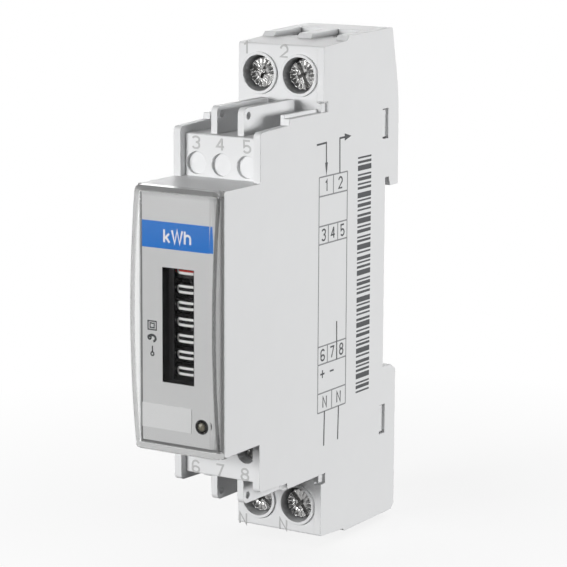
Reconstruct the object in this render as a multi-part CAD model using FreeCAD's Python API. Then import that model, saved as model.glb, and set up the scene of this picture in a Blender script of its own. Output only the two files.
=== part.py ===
import FreeCAD, Part
import os
import math

os.makedirs("parts", exist_ok=True)

# Axes: X across the module, Y from the front (minus) to the rail (plus), Z up.
# The origin lies on the rail seat, level with the middle of the 45 mm front.

# Housing, seen from the side
width = 17.5
front_half = 22.5            # half of the 45 mm high front
front_depth = 53.0           # front wall ahead of the rail seat
ledge_depth = 42.3           # side wall edges of the small terminal ledge
edge_height = 1.2            # side wall edges above the ledge floor
ledge_rise = 0.35            # the edge climbs this much to its step
step_length = 11.4           # from the step in the edge to the terminal block
step_rise = 1.05
land_width = 0.7             # strip inside the wall behind the step
land_rise = 0.6
land_setback = 0.6
block_depth = 21.9           # front face of the main terminal blocks
block_margin = 2.0           # block beyond the large cages
band_rise = 0.5
hood_depth = 14.1
hood_slope = 0.8
top_hood_rise = 1.3
top_hood_climb = 0.45
bottom_hood_rise = 1.0
back_depth = 4.7             # rear of the legs behind the rail seat
lean_depth = 2.1             # where the leaning rear meets the top
lean_length = 12.5
lean_radius = 40.0
foot_chamfer = 1.0
corner_radius = 0.9

# Housing, across
left_wall = 1.4
cover_wall = 1.35
skin = 1.2
face_recess = 1.5            # small terminal face behind the side wall edges
ledge_margin = 3.4           # ledge beyond the small cages
left_hood_width = 2.4
right_hood_width = 2.35
notch_reach = 2.85           # how far the wire channels pass the middle of their terminal
notch_length = 9.3
pocket_thinning = 0.25       # left wall is this much thinner beside the cages

# Snap windows of the side cover
snap_depth = 1.5
snap_height = 1.85
snap_sink = 0.5              # the lugs stand this far below the cover's face
latch_front = 1.1
latch_width = 2.0
latch_offset = 7.1           # from the ends of the rail seat
latch_length = 5.5
latch_end_gap = 0.3

# Rail
rail_height = 35.0
rail_rise = 0.8              # middle of the rail above the middle of the front
rail_play = 0.15
hook_reach = 1.5             # how far the hook comes down behind the rail
hook_mouth = 1.8
hook_root = 1.3

# Main terminals
left_terminal_x = -4.4
right_terminal_x = 3.85
terminal_rise = 8.8          # large screws beyond the ledge floor
well_radius = 3.2
well_rim_radius = 3.7
well_rim_height = 0.45
head_radius = 2.7
head_height = 3.3
head_setback = 1.2
edge_share = 0.12            # bevel of a screw head, as a share of its radius
recess_share = 0.38          # depth of the recess, as a share of the head's radius
shank_radius = 1.75
thread_clearance = 0.06
cage_width = 5.6
cage_length = 6.4
cage_wall = 0.9
cage_nut = 2.0
cage_gap = 6.3               # inside of the cage along the screw
cage_travel = 2.8
cage_clearance = 0.35
bar_thickness = 1.2
bar_width = 3.4
wire_radius = 1.85
shelf_thickness = 0.8
shelf_clearance = 0.25

# Small terminals
small_pitch = 5.08
small_inset = 2.3            # small screws beyond the 45 mm front
small_hole_radius = 1.85
small_head_radius = 1.5
small_head_height = 0.8
small_head_setback = 2.0
small_shank_radius = 0.9
small_cage_width = 3.7
small_cage_length = 3.2
small_cage_wall = 0.55
small_cage_nut = 1.2
small_cage_gap = 3.9
small_cage_travel = 1.4
small_bar_thickness = 0.6
small_bar_half = 0.9
small_wire_radius = 1.1
blank_radius = 1.95
blank_recess = 0.65
small_rib = 0.6
small_turn = 15.0            # degrees between the slots of neighbouring small screws

# Guard fins between the small terminals
fin_thickness = 1.25
fin_offset = 2.7
fin_shift = 0.25
fin_setback = 1.5            # behind the ledge face
fin_end_gap = 1.3            # ahead of the terminal block
fin_height = 4.7
fin_radius = 1.1
fin_hole_radius = 0.65
fin_hole_setback = 1.4
fin_hole_drop = 1.35

# Front
cover_side_gap = 0.15
cover_overlap = 0.1
cover_edge_depth = 1.6
cover_crown = 1.6
cover_corner = 1.4           # at the head of the cover
cover_foot_corner = 0.4
cover_bevel = 1.2
cover_bevel_depth = 0.6
cover_rim = 0.95
cover_glass = 1.0
label_side_gap = 0.05
label_end_gap = 0.15
label_thickness = 0.5
window_width = 6.3
window_top = 8.9
window_bottom = -10.6
window_margin = 0.4
sticker_left = -7.3
sticker_width = 10.0
sticker_top = -14.6
sticker_height = 4.15
sticker_thickness = 0.12
lamp_x = 4.75
lamp_height = -17.4
lamp_radius = 1.15
lamp_clearance = 0.05
lamp_length = 5.0
lamp_bevel = 0.3

# Counter
drum_count = 7
drum_radius = 6.9
drum_pitch = 2.8
drum_top_height = 7.8
drum_front_gap = 0.9         # drum faces behind the front wall
axial_gap = 0.1
rim_width = 1.75
gear_teeth = 20
gear_module = 0.53
gear_width = 0.45
tooth_tip_share = 0.22
tooth_root_share = 0.62
carry_width = 0.4
carry_direction = 225.0
hub_radius = 1.7
drum_shaft_radius = 0.9
pinion_teeth = 8
pinion_shaft_radius = 0.4
sleeve_radius = 0.95
running_clearance = 0.06
cheek_thickness = 1.2
frame_half_width = 6.2
mask_edge = -2.05
mask_thickness = 0.45
web_rear_thickness = 1.0
web_gap = 0.45

# Counter motor
motor_foot = 0.5
motor_height = 6.2
motor_width = 10.4
motor_ahead = 4.6            # of the drive pinion
motor_behind = 5.4
motor_corner = 0.8
coil_radius = 1.9
coil_length = 9.2

# Rail clip
clip_width = 8.4
clip_thickness = 2.2
clip_clearance = 0.3
clip_front = 1.2
nose_overlap = 1.35
clip_travel = 3.5
clip_foot = 0.8
spring_radius = 0.85
spring_wire = 0.35
spring_drop = 13.65          # spring's lower end below the rail seat
spring_compressed = 4.5      # with the clip pulled right out
spring_turns = 6
spring_sides = 4
spring_steps = 10            # stations on each turn
spring_window = 2.6
ledge_peg_height = 2.0

# Electronics
board_standoff = 1.4
board_thickness = 1.6
board_post_half = 1.6
board_peg_radius = 0.9
board_inset = 4.0            # of the posts from the board's edges
board_gap = 0.4              # behind the motor
board_back = 4.2
board_top_gap = 1.6
board_foot_gap = 2.3
main_can_radius = 4.5
main_can_length = 10.5
main_can_height = 16.0
small_can_radius = 2.5
small_can_length = 6.5
small_can_height = -9.0
can_bevel = 0.4
chip_size = (5.6, 9.0, 1.9)
chip_height = 2.0
coupler_size = (4.4, 4.8, 3.2)
coupler_height = -15.5
lead_pitch = 1.27
lead_width = 0.4
lead_reach = 0.9
lead_lift = 0.15

# Derived places
half_width = width / 2
left_inside = -half_width + left_wall
right_inside = half_width - cover_wall
face_depth = ledge_depth - face_recess
small_height = front_half + small_inset
floor_half = small_height + small_cage_length / 2 + ledge_margin
ledge_half = floor_half + edge_height
step_half = ledge_half + ledge_rise + step_rise
step_depth = block_depth + step_length
terminal_height = floor_half + terminal_rise
block_half = terminal_height + cage_length / 2 + block_margin
top_hood_front = block_half + top_hood_rise
top_hood_rear = top_hood_front + top_hood_climb
bottom_hood = block_half + bottom_hood_rise
fin_half = floor_half + fin_height
rail_top = rail_rise + rail_height / 2
rail_bottom = rail_rise - rail_height / 2
seat_top = rail_top + rail_play
seat_bottom = rail_bottom - rail_play
hook_tip = rail_top - hook_reach
latch_z = ((seat_top + latch_offset, seat_top + latch_offset + latch_length),
           (seat_bottom - latch_offset - latch_length, seat_bottom - latch_offset))
cover_width = width - 2 * cover_side_gap
cover_half = front_half + cover_overlap
label_width = cover_width - 2 * cover_rim - 2 * label_side_gap
label_half = cover_half - cover_rim - label_end_gap
board_left = left_inside + board_standoff
board_face = board_left + board_thickness
board_top = floor_half - skin - board_top_gap
board_bottom = -front_half + skin + board_foot_gap
terminal_xs = (left_terminal_x, right_terminal_x)
fin_xs = (fin_shift - fin_offset, fin_shift + fin_offset)
small_xs = (-small_pitch, 0.0, small_pitch)
drum_y = -front_depth + skin + drum_front_gap + drum_radius
drum_heights = [drum_top_height - i * drum_pitch for i in range(drum_count)]
gear_pitch_radius = gear_teeth * gear_module / 2
pinion_pitch_radius = pinion_teeth * gear_module / 2
pinion_y = drum_y + gear_pitch_radius + pinion_pitch_radius


def vec(x, y, z):
    return FreeCAD.Vector(x, y, z)


def block(x, y, z):
    """A box from its lowest and highest value along each axis."""
    return Part.makeBox(x[1] - x[0], y[1] - y[0], z[1] - z[0], vec(x[0], y[0], z[0]))


def rod_x(y, z, radius, x):
    return Part.makeCylinder(radius, x[1] - x[0], vec(x[0], y, z), vec(1, 0, 0))


def rod_y(x, z, radius, y):
    return Part.makeCylinder(radius, y[1] - y[0], vec(x, y[0], z), vec(0, 1, 0))


def rod_z(x, y, radius, z):
    return Part.makeCylinder(radius, z[1] - z[0], vec(x, y, z[0]), vec(0, 0, 1))


def fuse(shapes):
    whole = shapes[0]
    if len(shapes) > 1:
        whole = whole.fuse(shapes[1:])
    return whole.removeSplitter()


def outline(points, place):
    """A closed wire of straight runs; a third value rounds that corner."""
    corners = [vec(*place(p[0], p[1])) for p in points]
    radii = [p[2] if len(p) > 2 else 0.0 for p in points]
    count = len(corners)
    entries, exits, middles = [], [], []
    for i, corner in enumerate(corners):
        to_last = (corners[i - 1] - corner).normalize()
        to_next = (corners[(i + 1) % count] - corner).normalize()
        angle = to_last.getAngle(to_next)
        reach = radii[i] / math.tan(angle / 2) if radii[i] else 0.0
        entries.append(corner + to_last * reach)
        exits.append(corner + to_next * reach)
        bisector = (to_last + to_next).normalize() if radii[i] else vec(0, 0, 0)
        inset = radii[i] / math.sin(angle / 2) - radii[i] if radii[i] else 0.0
        middles.append(corner + bisector * inset)
    edges = []
    for i in range(count):
        if radii[i]:
            edges.append(Part.Arc(entries[i], middles[i], exits[i]).toShape())
        start, end = exits[i], entries[(i + 1) % count]
        if (end - start).Length > 1e-6:
            edges.append(Part.LineSegment(start, end).toShape())
    return Part.Face(Part.Wire(edges))


def facet(a, b, c):
    return Part.Face(Part.makePolygon([a, b, c, a]))


def plate_x(points, x):
    """A side profile of (y, z) points, drawn at the first x and pulled to the second."""
    return outline(points, lambda y, z: (x[0], y, z)).extrude(vec(x[1] - x[0], 0, 0))


def plate_y(points, y):
    """A front profile of (x, z) points."""
    return outline(points, lambda x, z: (x, y[0], z)).extrude(vec(0, y[1] - y[0], 0))


def plate_z(points, z):
    """A plan profile of (x, y) points."""
    return outline(points, lambda x, y: (x, y, z[0])).extrude(vec(0, 0, z[1] - z[0]))


def frame_points(x, z, radius):
    return [(x[0], z[0], radius), (x[0], z[1], radius), (x[1], z[1], radius), (x[1], z[0], radius)]


def save(name, shape):
    if shape.ShapeType == "Compound" and len(shape.Solids) == 1:
        shape = shape.Solids[0]
    shape.exportStep("parts/" + name + ".step")
    print(name, "solids", len(shape.Solids), "valid", shape.isValid(), "volume", round(shape.Volume, 2))


def front_steps(sign, ledge_y, ledge_z, climb, step, hood_start, hood_end, radius):
    """Profile from the 45 mm front out to the terminal block, above or below the middle."""
    points = [(-front_depth, sign * front_half, 0.4), (-ledge_y, sign * front_half)]
    points.append((-ledge_y, sign * ledge_z, radius))
    if step:
        points.append((-step_depth, sign * (ledge_z + climb)))
        points.append((-step_depth + 0.2, sign * (ledge_z + climb + step)))
    points.append((-block_depth, sign * (ledge_z + climb + step)))
    points.append((-block_depth, sign * block_half, 0.4))
    points.append((-hood_depth, sign * (block_half + band_rise)))
    points.append((-hood_depth + hood_slope, sign * hood_start))
    return points


def side_profile(ledge_y, ledge_z, climb, step, radius):
    """Whole outline of the module from the side, with the rail cut-out in its back."""
    top = front_steps(1, ledge_y, ledge_z, climb, step, top_hood_front, top_hood_rear, radius)
    bottom = front_steps(-1, ledge_y, ledge_z, climb, step, bottom_hood, bottom_hood, radius)
    back = [
        (lean_depth, top_hood_rear, 0.4),
        (back_depth, top_hood_rear - lean_length, lean_radius),
        (back_depth, hook_tip, 0.2),
        (hook_mouth, hook_tip),
        (hook_root, seat_top),
        (0.0, seat_top),
        (0.0, seat_bottom, 0.2),
        (back_depth - 1.8, seat_bottom),
        (back_depth, seat_bottom - 1.1),
        (back_depth, -bottom_hood + foot_chamfer),
        (back_depth - foot_chamfer, -bottom_hood),
    ]
    return top + back + bottom[::-1]


def rib_profile():
    return side_profile(ledge_depth, ledge_half, ledge_rise, step_rise, corner_radius)


def hollow_profile():
    """Outline of the walls between the two side plates, where the ledges are set back."""
    return side_profile(face_depth, floor_half, 0.0, 0.0, 0.3)


def hood_notches(side):
    """The two open channels beside the hoods that lead a wire into its hole."""
    notch_rear = hood_depth - notch_length
    tools = []
    spans = (
        (-half_width + left_hood_width, left_terminal_x + notch_reach),
        (right_terminal_x - notch_reach + 0.35, half_width - right_hood_width),
    )
    low = block_half + band_rise - 0.05
    high = top_hood_rear + 1.0
    for x in spans:
        z = (low, high) if side > 0 else (-high, -low)
        tools.append(block(x, (-hood_depth - 1.0, -notch_rear), z))
    return tools


head_front_y = -block_depth + head_setback
head_rear_y = head_front_y + head_height
shelf_front_y = head_rear_y + 0.05
shelf_rear_y = shelf_front_y + shelf_thickness
nut_front_y = shelf_rear_y + shelf_clearance + cage_travel
nut_rear_y = nut_front_y + cage_nut
cage_end_y = nut_rear_y + cage_gap + cage_wall
bar_front_y = nut_rear_y + 0.7
bar_rear_y = bar_front_y + bar_thickness
wire_y = (bar_rear_y + nut_rear_y + cage_gap) / 2
chamber_rear_y = cage_end_y + cage_clearance
chamber_low = terminal_height - cage_length / 2 - 1.0
chamber_high = block_half - skin + 0.1


def chamber_span(x):
    """Inside of one terminal chamber across the module."""
    half = cage_width / 2 + cage_clearance
    low = x - half
    high = x + half
    if x < 0:
        low = max(low, left_inside - pocket_thinning)
    else:
        high = right_inside
    return (low, high)


def terminal_rooms(side):
    """Wells, screw shelves, cage rooms and wire holes of the two main terminals."""
    tools = []
    z = side * terminal_height
    room_z = (chamber_low, chamber_high) if side > 0 else (-chamber_high, -chamber_low)
    hole_z = (chamber_high - 1.0, top_hood_rear + 1.0)
    if side < 0:
        hole_z = (-hole_z[1], -hole_z[0])
    for x in terminal_xs:
        tools.append(rod_y(x, z, well_radius, (-block_depth - 2.0, shelf_front_y)))
        tools.append(rod_y(x, z, shank_radius + shelf_clearance, (shelf_front_y - 0.5, shelf_rear_y + 0.5)))
        tools.append(block(chamber_span(x), (shelf_rear_y, chamber_rear_y), room_z))
        tools.append(rod_z(x, wire_y, wire_radius, hole_z))
    return tools


def bar_slots(side):
    tools = []
    z = (chamber_low - 3.0, chamber_low + 0.5)
    if side < 0:
        z = (-z[1], -z[0])
    for x in terminal_xs:
        tools.append(block((x - bar_width / 2, x + bar_width / 2), (bar_front_y, bar_rear_y), z))
    return tools


room_front_y = -front_depth + skin
room_rear_y = -skin
bay_half = chamber_low - skin


def electronics_room():
    """The hollow behind the front, with its ledges, up to the terminal chambers."""
    x = (left_inside, right_inside)
    front = front_half - skin
    ledge = floor_half - skin
    return [
        block(x, (room_front_y, -face_depth + skin), (-front, front)),
        block(x, (-face_depth + skin, -block_depth + skin), (-ledge, ledge)),
        block(x, (-block_depth + skin, room_rear_y), (-bay_half, bay_half)),
    ]


clip_y = (clip_front, clip_front + clip_thickness)
clip_slot_y = (clip_front - clip_clearance, clip_front + clip_thickness + clip_clearance)
clip_slot_half = clip_width / 2 + clip_clearance
clip_top = rail_bottom + nose_overlap
spring_seat = seat_bottom - spring_drop
window_low = spring_seat - ledge_peg_height - clip_clearance
spring_length = spring_compressed + clip_travel
window_high = spring_seat + spring_length


def back_rooms():
    """Hollows of the two legs behind the rail seat, and the clip's guideway."""
    x = (left_inside, right_inside)
    high = block_half - skin
    bend = top_hood_rear - lean_length
    leg = [(0.0, seat_top + skin), (back_depth - skin, seat_top + skin), (back_depth - skin, bend),
           (lean_depth - skin, high), (0.0, high)]
    upper = plate_x(leg, x)
    behind_chambers = block(x, (chamber_rear_y + skin, room_rear_y), (bay_half + skin, high))
    guide = block((-clip_slot_half, clip_slot_half), clip_slot_y, (-bottom_hood - 1.0, seat_bottom + 1.0))
    beside = block((clip_slot_half + skin, right_inside), (skin, back_depth - skin),
                   (-bottom_hood + 2 * skin, seat_bottom - 2 * skin))
    return [upper, behind_chambers, guide, beside]


def fins(side):
    """Upright guards on a ledge, each with a hole through its front corner."""
    shapes = []
    front, rear = -face_depth + fin_setback, -block_depth - fin_end_gap
    low = floor_half - 0.3
    for x in fin_xs:
        points = [(front, low), (front, fin_half, fin_radius), (rear, fin_half + 0.1, 0.3), (rear, low)]
        points = [(p[0], side * p[1]) + tuple(p[2:]) for p in points]
        fin = plate_x(points, (x - fin_thickness / 2, x + fin_thickness / 2))
        height = side * (fin_half - fin_hole_drop)
        hole = rod_x(front + fin_hole_setback, height, fin_hole_radius, (x - 3, x + 3))
        shapes.append(fin.cut(hole))
    return shapes


def inner_land(side):
    """Raised strip beside the right wall that backs the step in its edge."""
    low, high = floor_half - 0.3, step_half + land_rise
    front = -step_depth + land_setback
    points = [(front, low), (front, high, 0.3), (-block_depth, high), (-block_depth, low)]
    points = [(p[0], side * p[1]) + tuple(p[2:]) for p in points]
    return plate_x(points, (right_inside - land_width, right_inside))


def well_rims(side):
    rims = []
    within_shell = block((-half_width, right_inside), (-front_depth, 0), (-top_hood_rear, top_hood_rear))
    for x in terminal_xs:
        y = (-block_depth - well_rim_height, -block_depth + 0.3)
        rims.append(rod_y(x, side * terminal_height, well_rim_radius, y).common(within_shell))
    return rims


def blank_recesses():
    """Closed round places of the upper ledge, where other models have small screws."""
    tools = []
    for x in small_xs:
        y = (-face_depth - 1.0, -face_depth + blank_recess)
        tools.append(rod_y(x, small_height, blank_radius, y))
    return tools


small_shelf_y = -face_depth + small_head_setback + small_head_height + 0.05
small_shelf_rear_y = small_shelf_y + shelf_thickness
small_nut_front_y = small_shelf_rear_y + shelf_clearance + small_cage_travel
small_nut_rear_y = small_nut_front_y + small_cage_nut
small_cage_end_y = small_nut_rear_y + small_cage_gap + small_cage_wall
small_bar_y = (small_nut_rear_y + 0.5, small_nut_rear_y + 0.5 + small_bar_thickness)
small_bar_z = (-small_height - small_cage_length / 2 + 0.2, -front_half + skin + 2.0)
small_wire_y = (small_bar_y[1] + small_nut_rear_y + small_cage_gap) / 2


def small_terminal_wall():
    """Wall behind the lower ledge face that carries the three small screws."""
    z = (-floor_half + skin - 0.2, -front_half + skin)
    return [block((left_inside - 0.2, right_inside), (-face_depth + skin - 0.2, small_shelf_rear_y), z)]


def small_partitions():
    """Ribs between the small cages, and the cross rib that holds their contact tongues."""
    y = (small_shelf_rear_y - 0.2, small_cage_end_y)
    z = (-floor_half + skin - 0.2, -front_half + skin)
    ribs = []
    for x in (-small_pitch / 2, small_pitch / 2):
        ribs.append(block((x - small_rib / 2, x + small_rib / 2), y, z))
    ribs.append(block((left_inside - 0.2, right_inside), y, (z[1] - 0.2, z[1] + 1.0)))
    return ribs


def small_terminal_holes():
    tools = []
    for x in small_xs:
        tools.append(rod_y(x, -small_height, small_hole_radius, (-face_depth - 2.0, small_shelf_y)))
        reach = (small_shelf_y - 0.5, small_shelf_rear_y + 0.5)
        tools.append(rod_y(x, -small_height, small_shank_radius + shelf_clearance, reach))
        tools.append(rod_z(x, small_wire_y, small_wire_radius, (-floor_half - 1.0, -floor_half + skin + 0.5)))
        tools.append(block((x - small_bar_half, x + small_bar_half), small_bar_y, small_bar_z))
    return tools


def window_opening():
    x = (-window_width / 2 - window_margin, window_width / 2 + window_margin)
    z = (window_bottom - window_margin, window_top + window_margin)
    y = (-front_depth - 1.0, room_front_y + 1.0)
    return [block(x, y, z), rod_y(lamp_x, lamp_height, lamp_radius + lamp_clearance, y)]


def board_fixings():
    rows = (board_y[0] + board_inset, board_y[1] - board_inset)
    return [(y, z) for y in rows for z in (board_bottom + board_inset, board_top - board_inset)]


def board_pegs():
    """The two fixings on a diagonal."""
    places = board_fixings()
    return [places[0], places[3]]


def board_posts():
    """Four square posts that carry the board; two of them end in pegs."""
    posts = []
    for y, z in board_fixings():
        reach_y = (y - board_post_half, y + board_post_half)
        reach_z = (z - board_post_half, z + board_post_half)
        posts.append(block((left_inside - 0.3, board_left), reach_y, reach_z))
    for y, z in board_pegs():
        posts.append(rod_x(y, z, board_peg_radius, (board_left - 0.2, board_left + board_thickness + 0.8)))
    return posts


snap_y = (-block_depth, -block_depth + snap_depth)
latch_y = (-latch_front, -latch_front + latch_width)


def mirrored(z, side):
    return z if side > 0 else (-z[1], -z[0])


def snap_lugs():
    """Shell lugs that fill the windows and corner notches of the side cover and hold it on."""
    x = (right_inside - 0.4, half_width - snap_sink)
    lugs = []
    for side in (1, -1):
        lugs.append(block(x, snap_y, mirrored((step_half, step_half + snap_height - latch_end_gap), side)))
    for low, high in latch_z:
        lugs.append(block(x, latch_y, (low + latch_end_gap, high - latch_end_gap)))
    return lugs


def cover_notches():
    x = (right_inside - 1, half_width + 1)
    y = (snap_y[0] - 1.5, snap_y[1])
    tools = []
    for side in (1, -1):
        tools.append(block(x, y, mirrored((step_half, step_half + snap_height), side)))
    for z in latch_z:
        tools.append(block(x, latch_y, z))
    return tools


def housing_shell():
    left = plate_x(rib_profile(), (-half_width, left_inside))
    walls = plate_x(hollow_profile(), (left_inside - 0.1, right_inside))
    body = left.fuse([walls])
    rooms = electronics_room() + back_rooms()
    for side in (1, -1):
        rooms += hood_notches(side)
    body = body.cut(rooms)
    backing = []
    for side in (1, -1):
        z = mirrored((chamber_low - skin, block_half - 0.5), side)
        y = (-block_depth + 0.2, chamber_rear_y + skin)
        backing.append(block((left_inside - 0.1, right_inside), y, z))
        backing += fins(side) + well_rims(side) + [inner_land(side)]
    ledge_x = spring_window / 2 - clip_clearance
    spring_ledge = block((-ledge_x, ledge_x), (clip_slot_y[0] - 0.2, clip_slot_y[1] + 0.2),
                         (spring_seat - ledge_peg_height, spring_seat))
    inner_walls = small_terminal_wall() + small_partitions() + board_posts()
    body = body.fuse(backing + inner_walls + snap_lugs() + [spring_ledge])
    holes = window_opening() + small_terminal_holes() + blank_recesses()
    for side in (1, -1):
        holes += terminal_rooms(side) + bar_slots(side)
    body = body.cut(holes)
    return body.removeSplitter()


def side_cover():
    """Flat right-hand cover plate; its own hood ends stand beside the right wire channel."""
    plate = plate_x(rib_profile(), (right_inside, half_width))
    return plate.cut(cover_notches())


bow_radius = (cover_half ** 2 + cover_crown ** 2) / (2 * cover_crown)
bow_front = -front_depth - cover_edge_depth - cover_crown


def bowed_block(section, rim, corners, rear):
    """Slab with a bowed front, swept from a plan section; corners are its radii at the foot and the head."""
    face = outline(section, lambda x, y: (x, y, 0))
    centre = vec(0, bow_front + bow_radius, 0)
    reach = math.degrees(math.asin(cover_half / bow_radius)) + 1
    face.rotate(centre, vec(1, 0, 0), -reach)
    swept = face.revolve(centre, vec(1, 0, 0), 2 * reach)
    half, high = cover_width / 2 - rim, cover_half - rim
    foot, head = corners
    elevation = [(-half, -high, foot), (-half, high, head), (half, high, head), (half, -high, foot)]
    return swept.common(plate_y(elevation, (bow_front - 1, rear)))


def front_cover():
    """Clear bowed window cover, open at the back, standing on the front wall round the label."""
    half = cover_width / 2
    shoulder = bow_front + cover_bevel_depth
    outside = [(-half, 0), (-half, shoulder), (-half + cover_bevel, bow_front),
               (half - cover_bevel, bow_front), (half, shoulder), (half, 0)]
    inner = half - cover_rim
    glass = bow_front + cover_glass
    inside = [(-inner, 0), (-inner, glass), (inner, glass), (inner, 0)]
    outer = bowed_block(outside, 0.0, (cover_foot_corner, cover_corner), -front_depth)
    inner_corners = (cover_foot_corner / 2, cover_corner / 2)
    return outer.cut(bowed_block(inside, cover_rim, inner_corners, -front_depth + 1))


label_y = (-front_depth - label_thickness, -front_depth)


def label_plate():
    points = frame_points((-label_width / 2, label_width / 2), (-label_half, label_half), 0.5)
    plate = plate_y(points, label_y)
    window = block((-window_width / 2, window_width / 2), (label_y[0] - 1, label_y[1] + 1),
                   (window_bottom, window_top))
    lamp = rod_y(lamp_x, lamp_height, lamp_radius + lamp_clearance, (label_y[0] - 1, label_y[1] + 1))
    return plate.cut([window, lamp])


def blank_sticker():
    x = (sticker_left, sticker_left + sticker_width)
    z = (sticker_top - sticker_height, sticker_top)
    return block(x, (label_y[0] - sticker_thickness, label_y[0]), z)


def lamp_lens():
    y = (label_y[0] - 0.15, label_y[0] + lamp_length)
    lens = rod_y(lamp_x, lamp_height, lamp_radius, y)
    return lens.makeChamfer(lamp_bevel, [e for e in lens.Edges if abs(e.BoundBox.YMax - y[0]) < 1e-6])


def gear(x, y, teeth, module, z, bore, turn):
    """A spur gear about a Z axis, with straight-sided teeth and a little backlash."""
    pitch = teeth * module / 2
    tip, root = pitch + 0.8 * module, pitch - 1.1 * module
    step = 2 * math.pi / teeth
    half_tip, half_root = tooth_tip_share * step / 2, tooth_root_share * step / 2
    points = []
    for i in range(teeth):
        centre = turn + 2 * math.pi * i / teeth
        for angle, radius in ((-half_root, root), (-half_tip, tip), (half_tip, tip), (half_root, root)):
            points.append((x + radius * math.cos(centre + angle), y + radius * math.sin(centre + angle)))
    wheel = plate_z(points, z)
    return wheel.cut(rod_z(x, y, bore, (z[0] - 1, z[1] + 1)))


def digit_drum(i):
    """Number wheel: figure rim, gear ring above, hub and two carry teeth below."""
    z0 = drum_heights[i] - rim_width / 2
    z1 = drum_heights[i] + rim_width / 2
    rim = rod_z(0, drum_y, drum_radius, (z0, z1))
    hub = rod_z(0, drum_y, hub_radius, (z0 - carry_width, z0 + 0.1))
    bore = drum_shaft_radius + running_clearance
    ring = gear(0, drum_y, gear_teeth, gear_module, (z1 - 0.1, z1 + gear_width), bore, math.pi / 2)
    pieces = [hub, ring]
    if i < drum_count - 1:
        pieces.append(carry_teeth(z0))
    body = rim.fuse(pieces)
    return body.cut(rod_z(0, drum_y, bore, (z0 - 5, z1 + 5))).removeSplitter()


def carry_teeth(z0):
    """Two teeth that push the next pinion once a turn, drawn a quarter turn away from it."""
    teeth = []
    spoke = block((-0.5, gear_pitch_radius + 0.1), (drum_y - 0.35, drum_y + 0.35), (z0 - carry_width, z0))
    for angle in (-9, 9):
        arm = spoke.copy()
        arm.rotate(vec(0, drum_y, 0), vec(0, 0, 1), carry_direction + angle)
        teeth.append(arm)
    return teeth[0].fuse(teeth[1])


def carry_pinion(i):
    """Eight-tooth pinion between drum i and drum i + 1."""
    top = drum_heights[i] - rim_width / 2
    below = drum_heights[i + 1] + rim_width / 2
    z = (below + axial_gap, top - axial_gap)
    return gear(0, pinion_y, pinion_teeth, gear_module, z, pinion_shaft_radius + running_clearance,
                -math.pi / 2 + math.pi / pinion_teeth)


frame_top = drum_heights[0] + rim_width / 2 + gear_width + 0.15
frame_bottom = drum_heights[-1] - rim_width / 2 - carry_width - 0.15
pinion_tip = pinion_pitch_radius + 0.8 * gear_module
web_y = pinion_y + pinion_tip + web_gap


def counter_frame():
    """Black frame: two cheeks for the shafts, a rear web and the mask behind the window."""
    x = (-frame_half_width, frame_half_width)
    front = room_front_y
    cheeks = []
    for z in ((frame_top, frame_top + cheek_thickness), (frame_bottom - cheek_thickness, frame_bottom)):
        cheeks.append(block(x, (front, web_y), z))
    web_z = (frame_bottom - cheek_thickness, frame_top + cheek_thickness)
    web = block((-frame_half_width + 1.0, frame_half_width - 1.0),
                (web_y - 0.2, web_y + web_rear_thickness), web_z)
    mask = block((x[0], mask_edge), (front, front + mask_thickness), web_z)
    right_post = block((window_width / 2 + 0.8, x[1]), (front, front + mask_thickness), web_z)
    body = cheeks[0].fuse([cheeks[1], web, mask, right_post])
    through = (web_z[0] - 1, web_z[1] + 1)
    bores = [
        rod_z(0, drum_y, drum_shaft_radius, through),
        rod_z(0, pinion_y, pinion_shaft_radius, through),
        rod_z(0, pinion_y, sleeve_radius + running_clearance, (frame_top - 1, through[1])),
    ]
    return body.cut(bores).removeSplitter()


def shaft(y, radius, reach):
    z = (frame_bottom - cheek_thickness, frame_top + cheek_thickness + reach)
    return rod_z(0, y, radius, z)


top_rim = drum_heights[0] + rim_width / 2
motor_gear_z = (top_rim + axial_gap, top_rim + gear_width)
motor_base = frame_top + cheek_thickness + motor_foot
motor_z = (motor_base, motor_base + motor_height)
motor_x = (-motor_width / 2, motor_width / 2)
motor_y = (pinion_y - motor_ahead, pinion_y + motor_behind)
board_y = (motor_y[1] + board_gap, -board_back)
board_middle_y = (board_y[0] + board_y[1]) / 2


def motor_gear():
    """Drive pinion of the top drum; its sleeve reaches up through the cheek to the motor."""
    turn = -math.pi / 2 + math.pi / pinion_teeth
    bore = pinion_shaft_radius + running_clearance
    wheel = gear(0, pinion_y, pinion_teeth, gear_module, motor_gear_z, bore, turn)
    sleeve_z = (motor_gear_z[1] - 0.1, motor_z[0] - axial_gap)
    sleeve = rod_z(0, pinion_y, sleeve_radius, sleeve_z)
    sleeve = sleeve.cut(rod_z(0, pinion_y, bore, (sleeve_z[0] - 1, sleeve_z[1] + 1)))
    return wheel.fuse(sleeve).removeSplitter()


def motor_case():
    case = block(motor_x, motor_y, motor_z)
    upright = [e for e in case.Edges if abs(e.BoundBox.ZLength - motor_height) < 1e-6]
    case = case.makeFillet(motor_corner, upright)
    feet = []
    foot_y = (motor_y[0] + 1.0, motor_y[1] - 1.0)
    for x in ((motor_x[0] + 0.5, -2.0), (2.0, motor_x[1] - 0.5)):
        feet.append(block(x, foot_y, (motor_z[0] - motor_foot, motor_z[0] + 0.2)))
    bore = rod_z(0, pinion_y, pinion_shaft_radius, (motor_z[0] - 1, motor_z[0] + 2.0))
    return case.fuse(feet).removeSplitter().cut(bore)


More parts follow.
